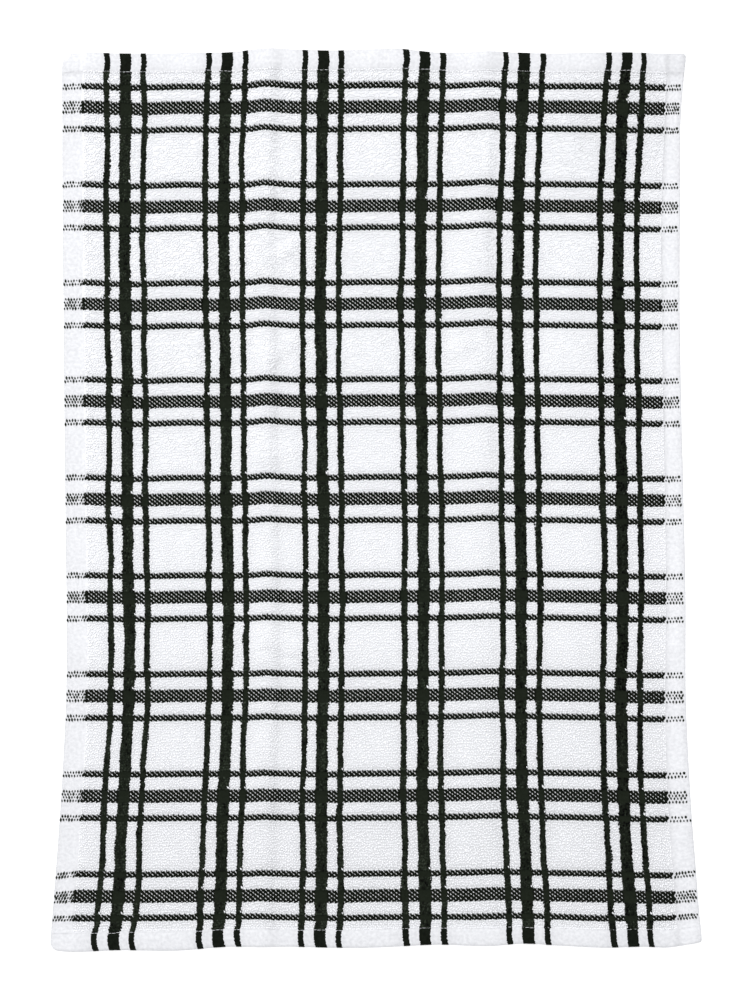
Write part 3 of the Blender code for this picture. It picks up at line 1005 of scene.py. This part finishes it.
black_yarn = loop_material("black pile yarn", BLACK, BLACK_SHADE, 1.4, streaks=0.45)
u, v = dark_loops.T
black_draw = np.random.default_rng(34)
black_turns = black_draw.normal(0, 0.2, len(u))
black_dims = (DARKER_ALL + DARKER_RIGHT * np.clip((u - DARKER_FROM) / DARKER_OVER, 0, 1)
              + black_draw.normal(0, LOOP_DIMMING_SPREAD, len(u))
              + waves(u, v, 37, (PATCH_DIMMING, PATCH_DIMMING), (26 * MM, 9 * MM)))
yarn_piece("black_pile", on_cloth(u, v, PILE_GROUND + LOOP_RISE), black_turns,
           black_dims, black_yarn, "black_terry", **LOOP, Turn=0.3, Seed=8)


# The floats of the flat bands
# In the bands the dark weft covers the ground, and the white warp comes up through it as
# small slanted floats, in every other column of each row, which gives a diamond weave. The
# top row runs out into the white pile, with dark ticks of the weft between its floats.

FLOAT_COLUMN = FLOAT_PITCH / 2
FloatRow = namedtuple("FloatRow", "kind height offset")
THIN_ROWS = (
    FloatRow("tick", 2.3, 0),
    FloatRow("dash", 1.5, 0),
    FloatRow("dot", -0.05, 1),
    FloatRow("notch", -1.9, 0),
)
THICK_ROWS = (
    FloatRow("tick", 4.6, 0),
    FloatRow("dash", 3.7, 0),
    FloatRow("dot", 2.05, 1),
    FloatRow("dot", 0.6, 0),
    FloatRow("dot", -0.75, 1),
    FloatRow("dot", -2.4, 0),
    FloatRow("notch", -3.9, 1),
)
FloatShape = namedtuple("FloatShape", "piece width length height rise shift lean")
FLOAT_SHAPES = {
    "dot": FloatShape("band_dots", 0.8, 2.0, 0.7, 1.55, 0.0, 0.72),
    "dash": FloatShape("band_dashes", 0.68, 2.8, 0.9, 1.75, 0.0, 0.62),
    "notch": FloatShape("band_notches", 1.1, 1.2, 0.9, 1.7, 0.0, 0.5),
    "tick": FloatShape("band_ticks", 0.85, 2.3, 1.0, 2.35, 0.75, 0.55),
}
FLOAT_SHADE = (0.30, 0.31, 0.31, 1.0)
FLOAT_STRAY = 0.07 * MM
SMALLER_RIGHT = 0.14
SMALLER_FROM = 110 * MM
SMALLER_OVER = 90 * MM
SMALLER_FOOT = 0.06

float_places = {kind: [] for kind in FLOAT_SHAPES}
float_draw = np.random.default_rng(44)
for centre, width in band_list():
    columns_across = np.arange(LEFT_PILE + 1.2 * MM, RIGHT_PILE - 1.0 * MM, FLOAT_COLUMN)
    stretch = width / THIN_BAND if width < THICK_BAND else 1.0
    for row in THICK_ROWS if width == THICK_BAND else THIN_ROWS:
        for u in columns_across[row.offset::2]:
            float_places[row.kind].append((u + FLOAT_SHAPES[row.kind].shift * MM,
                                           centre + row.height * stretch * MM))

float_yarn = loop_material("white warp floats", PILE_WHITE, FLOAT_SHADE, 0.8)
for kind, places in float_places.items():
    u, v = np.array(places).T
    off_stripe = np.abs(even_thread(u, v)[:, None] - EVEN_STRIPES) - STRIPE_HALVES
    clear = off_stripe.min(axis=1) > 0.1 * MM
    u = u[clear] + float_draw.normal(0, FLOAT_STRAY, clear.sum())
    v = v[clear] + float_draw.normal(0, FLOAT_STRAY, clear.sum())
    shape = FLOAT_SHAPES[kind]
    dark = kind == "tick"
    own_size = 1 if dark else (1 - SMALLER_RIGHT * np.clip((u - SMALLER_FROM) / SMALLER_OVER, 0, 1)
                               - SMALLER_FOOT * np.clip(-v / LENGTH * 2, 0, 1))
    yarn_piece(shape.piece, on_cloth(u, v, shape.rise * MM), shape.lean, 0.0,
               black_yarn if dark else float_yarn, "black_terry" if dark else "white_terry",
               grown=own_size,
               Width=shape.width * MM, Length=shape.length * MM, Height=shape.height * MM,
               Spread=0.12, Turn=0.12, Tilt=0.1, Seed=5)


# The ticks in the selvedges
# The dark weft of each band runs on to the edge of the cloth, where it shows as rows of short
# slanted ticks between the white warp threads, and on the right as one fat knot near the edge.

TICK_STEP = 2.0 * MM
RIGHT_TICK_STEP = 2.12 * MM
LEFT_START = 0.95 * MM
RIGHT_START = 0.7 * MM
LEFT_COLUMNS = 7
KNOT_COLUMN = 4
KNOT_SHIFT = 0.2 * MM
TICK_STRAY = 0.12 * MM
THIN_TICK_ROWS = (1.25, -1.25)
THICK_TICK_ROWS = (3.35, 1.15, -0.95, -3.4)
LEFT_LEAN = 0.26
LEFT_LEAN_STEP = -0.08
RIGHT_LEAN = 0.08
EDGE_LEAN = -0.25

# Near the pile two warp threads run close together and half hide the weft
CLOSE_THREADS = (9.0 * MM, 11.4 * MM)
CLOSE_TICK_SIZE = 0.72

# At the foot the ticks are larger, those on the left lean the other way, and more of them show
# on the right, where the selvedge is wider
FOOT_HEIGHTS = (-280 * MM, -200 * MM)
FOOT_LEAN = -0.42
FOOT_TICK_SIZE = 1.12
FOOT_STEP_SHARE = 0.82
RIGHT_FOOT_LEAN = 0.10

# The three pieces (mm): how high a tick lies on the weave, its shape, and how its size varies
TickPiece = namedtuple("TickPiece", "name rise width length spread sides rings seed")
TICK_PIECES = (
    TickPiece("left_selvedge_ticks", 0.22, 1.5, 2.7, 0.24, 4, 2, 6),
    TickPiece("right_selvedge_ticks", 0.22, 1.4, 2.4, 0.24, 4, 2, 16),
    TickPiece("selvedge_knots", 0.15, 1.9, 2.1, 0.1, 8, 4, 9),
)
TICK_HEIGHT = 0.9 * MM

left_ticks = []
right_ticks = []
knots = []
tick_draw = np.random.default_rng(55)
for centre, width in band_list():
    for number, height in enumerate(THICK_TICK_ROWS if width == THICK_BAND else THIN_TICK_ROWS):
        v = centre + height * MM
        half_step = TICK_STEP / 2 * ((number + 1) % 2)
        foot = np.interp(v, FOOT_HEIGHTS, (1, 0))
        grown = 1 + foot * (FOOT_TICK_SIZE - 1)
        for column in range(LEFT_COLUMNS):
            inset = LEFT_START + half_step + column * TICK_STEP
            close = CLOSE_THREADS[0] < inset < CLOSE_THREADS[1]
            left_ticks.append((inset - WIDTH / 2, v + tick_draw.normal(0, TICK_STRAY),
                               LEFT_LEAN + LEFT_LEAN_STEP * column + foot * FOOT_LEAN,
                               CLOSE_TICK_SIZE if close else grown))
        step = RIGHT_TICK_STEP * (1 + foot * (FOOT_STEP_SHARE - 1))
        last_column = round((RIGHT_SELVEDGE - RIGHT_START - half_step) / step - 0.9)
        for column in range(last_column + 1):
            u = RIGHT_PILE + RIGHT_START + half_step + column * step
            if column == KNOT_COLUMN and number % 2 == 0:
                knots.append((u + KNOT_SHIFT, v + KNOT_SHIFT, 0, 1))
            elif column < last_column or number % 2 or foot > 0.5:
                lean = RIGHT_LEAN if column < last_column else EDGE_LEAN
                foot_lean = RIGHT_FOOT_LEAN * max(column - 1, 0)
                right_ticks.append((u, v + tick_draw.normal(0, TICK_STRAY),
                                    lean * (1 - foot) + foot_lean * foot, grown))
for piece, ticks in zip(TICK_PIECES, (left_ticks, right_ticks, knots)):
    u, v, turns, grown = np.array(ticks).T
    yarn_piece(piece.name, on_cloth(u, v, WOVEN + piece.rise * MM), turns, 0.0, black_yarn,
               "black_terry", grown=grown, Width=piece.width * MM, Length=piece.length * MM,
               Height=TICK_HEIGHT, Sides=piece.sides, Rings=piece.rings,
               Spread=piece.spread, Turn=0.15, Tilt=0.05, Seed=piece.seed)


# The hem stitching
# Both ends are sewn down with one row of white lock stitch, which sinks into the cloth and
# shows best where it crosses the dark stripes.

STITCH_PITCH = 3.0 * MM
STITCH_LENGTH = 3.3 * MM
STITCH_THICK = 0.34 * MM
LOW_STITCH_DROP = 1.3 * MM
LOW_STITCH_SPAN = (-185 * MM, 60 * MM)
GROOVE_STOPS = (0, 0.6 * MM, 1.8 * MM)
GROOVE_RISES = (0, 0.2 * MM, 0.55 * MM)

stitch_white = loop_material("sewing thread", WOVEN_WHITE, WOVEN_SHADE, 0.6)
stitch_u = np.tile(np.arange(-WIDTH / 2 + 2 * MM, WIDTH / 2 - 2 * MM, STITCH_PITCH), 2)
stitch_v = np.repeat([1.0, -1.0], len(stitch_u) // 2) * (LENGTH / 2 - HEM)
stitch_v += waves(stitch_u, stitch_v, 58, (0.5 * MM, 0.4 * MM), (31 * MM, 12 * MM))
drop = LOW_STITCH_DROP * np.interp(stitch_u, LOW_STITCH_SPAN, (1, 0))
stitch_v -= np.where(stitch_v < 0, drop, 0)
groove = HEM_ROWS[-2]
stitch_height = np.interp(stitch_u, (LEFT_PILE - SIDE_SLOPE, LEFT_PILE + SIDE_SLOPE,
                                     RIGHT_PILE - SIDE_SLOPE, RIGHT_PILE + SIDE_SLOPE),
                          (groove.side, groove.field, groove.field, groove.side)) * MM
stitch_height += np.interp(np.abs(stitch_v) - (LENGTH / 2 - HEM), GROOVE_STOPS, GROOVE_RISES)
yarn_piece("hem_stitches", on_cloth(stitch_u, stitch_v, stitch_height),
           math.pi / 2, 1.0, stitch_white, "sewing_thread",
           Width=STITCH_THICK, Length=STITCH_LENGTH, Height=STITCH_THICK, Sides=6, Rings=4,
           Spread=0.05, Turn=0.05, Tilt=0.02, Seed=7)
